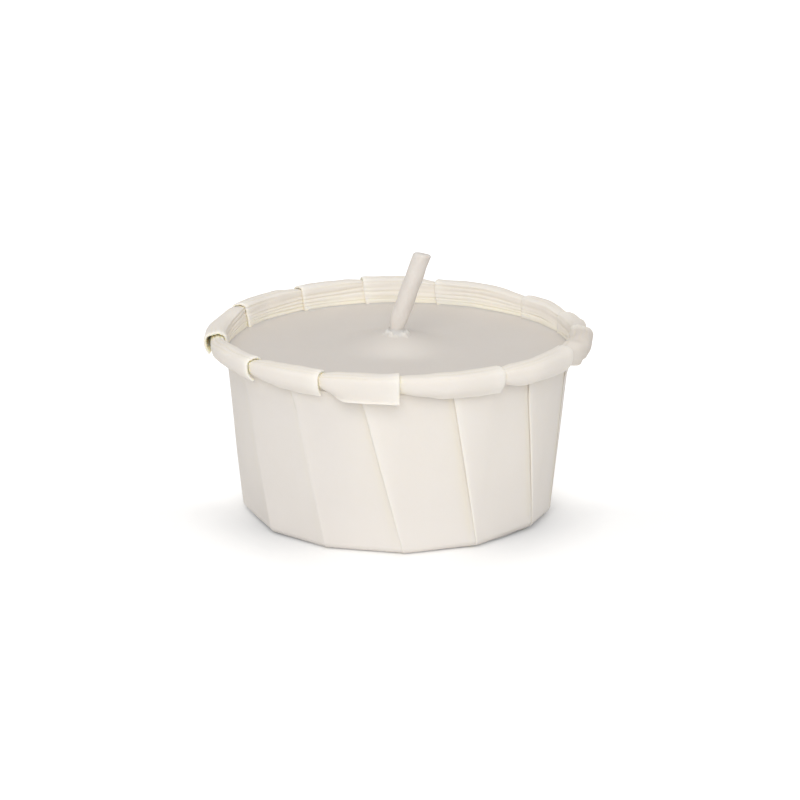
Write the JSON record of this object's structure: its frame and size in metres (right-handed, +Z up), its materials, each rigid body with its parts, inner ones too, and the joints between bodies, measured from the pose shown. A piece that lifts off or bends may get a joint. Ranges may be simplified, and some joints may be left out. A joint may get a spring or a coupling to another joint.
{
  "type": "tea light candle",
  "caption": "Tea light candle: wax cast in a pleated paper cup with a rolled rim, with a short leaning waxed wick that stands in a stamped metal foot under the wax.",
  "frame": {"origin": "middle of the cup's underside, on the surface that it stands on", "axes": "+Z up along the cup's axis, -Y towards the front of the picture, +X to its right"},
  "size_m": [0.0423, 0.0416, 0.0274],
  "materials": {
    "paper": "matte ivory greaseproof paper",
    "wax": "satin translucent wax",
    "wick": "satin waxed cotton",
    "tinplate": "satin tin-plated steel"
  },
  "bodies": {
    "root": {"paper_cup": "paper", "wax": "wax", "wick": "wick", "wick_foot": "tinplate"}
  },
  "joints": []
}
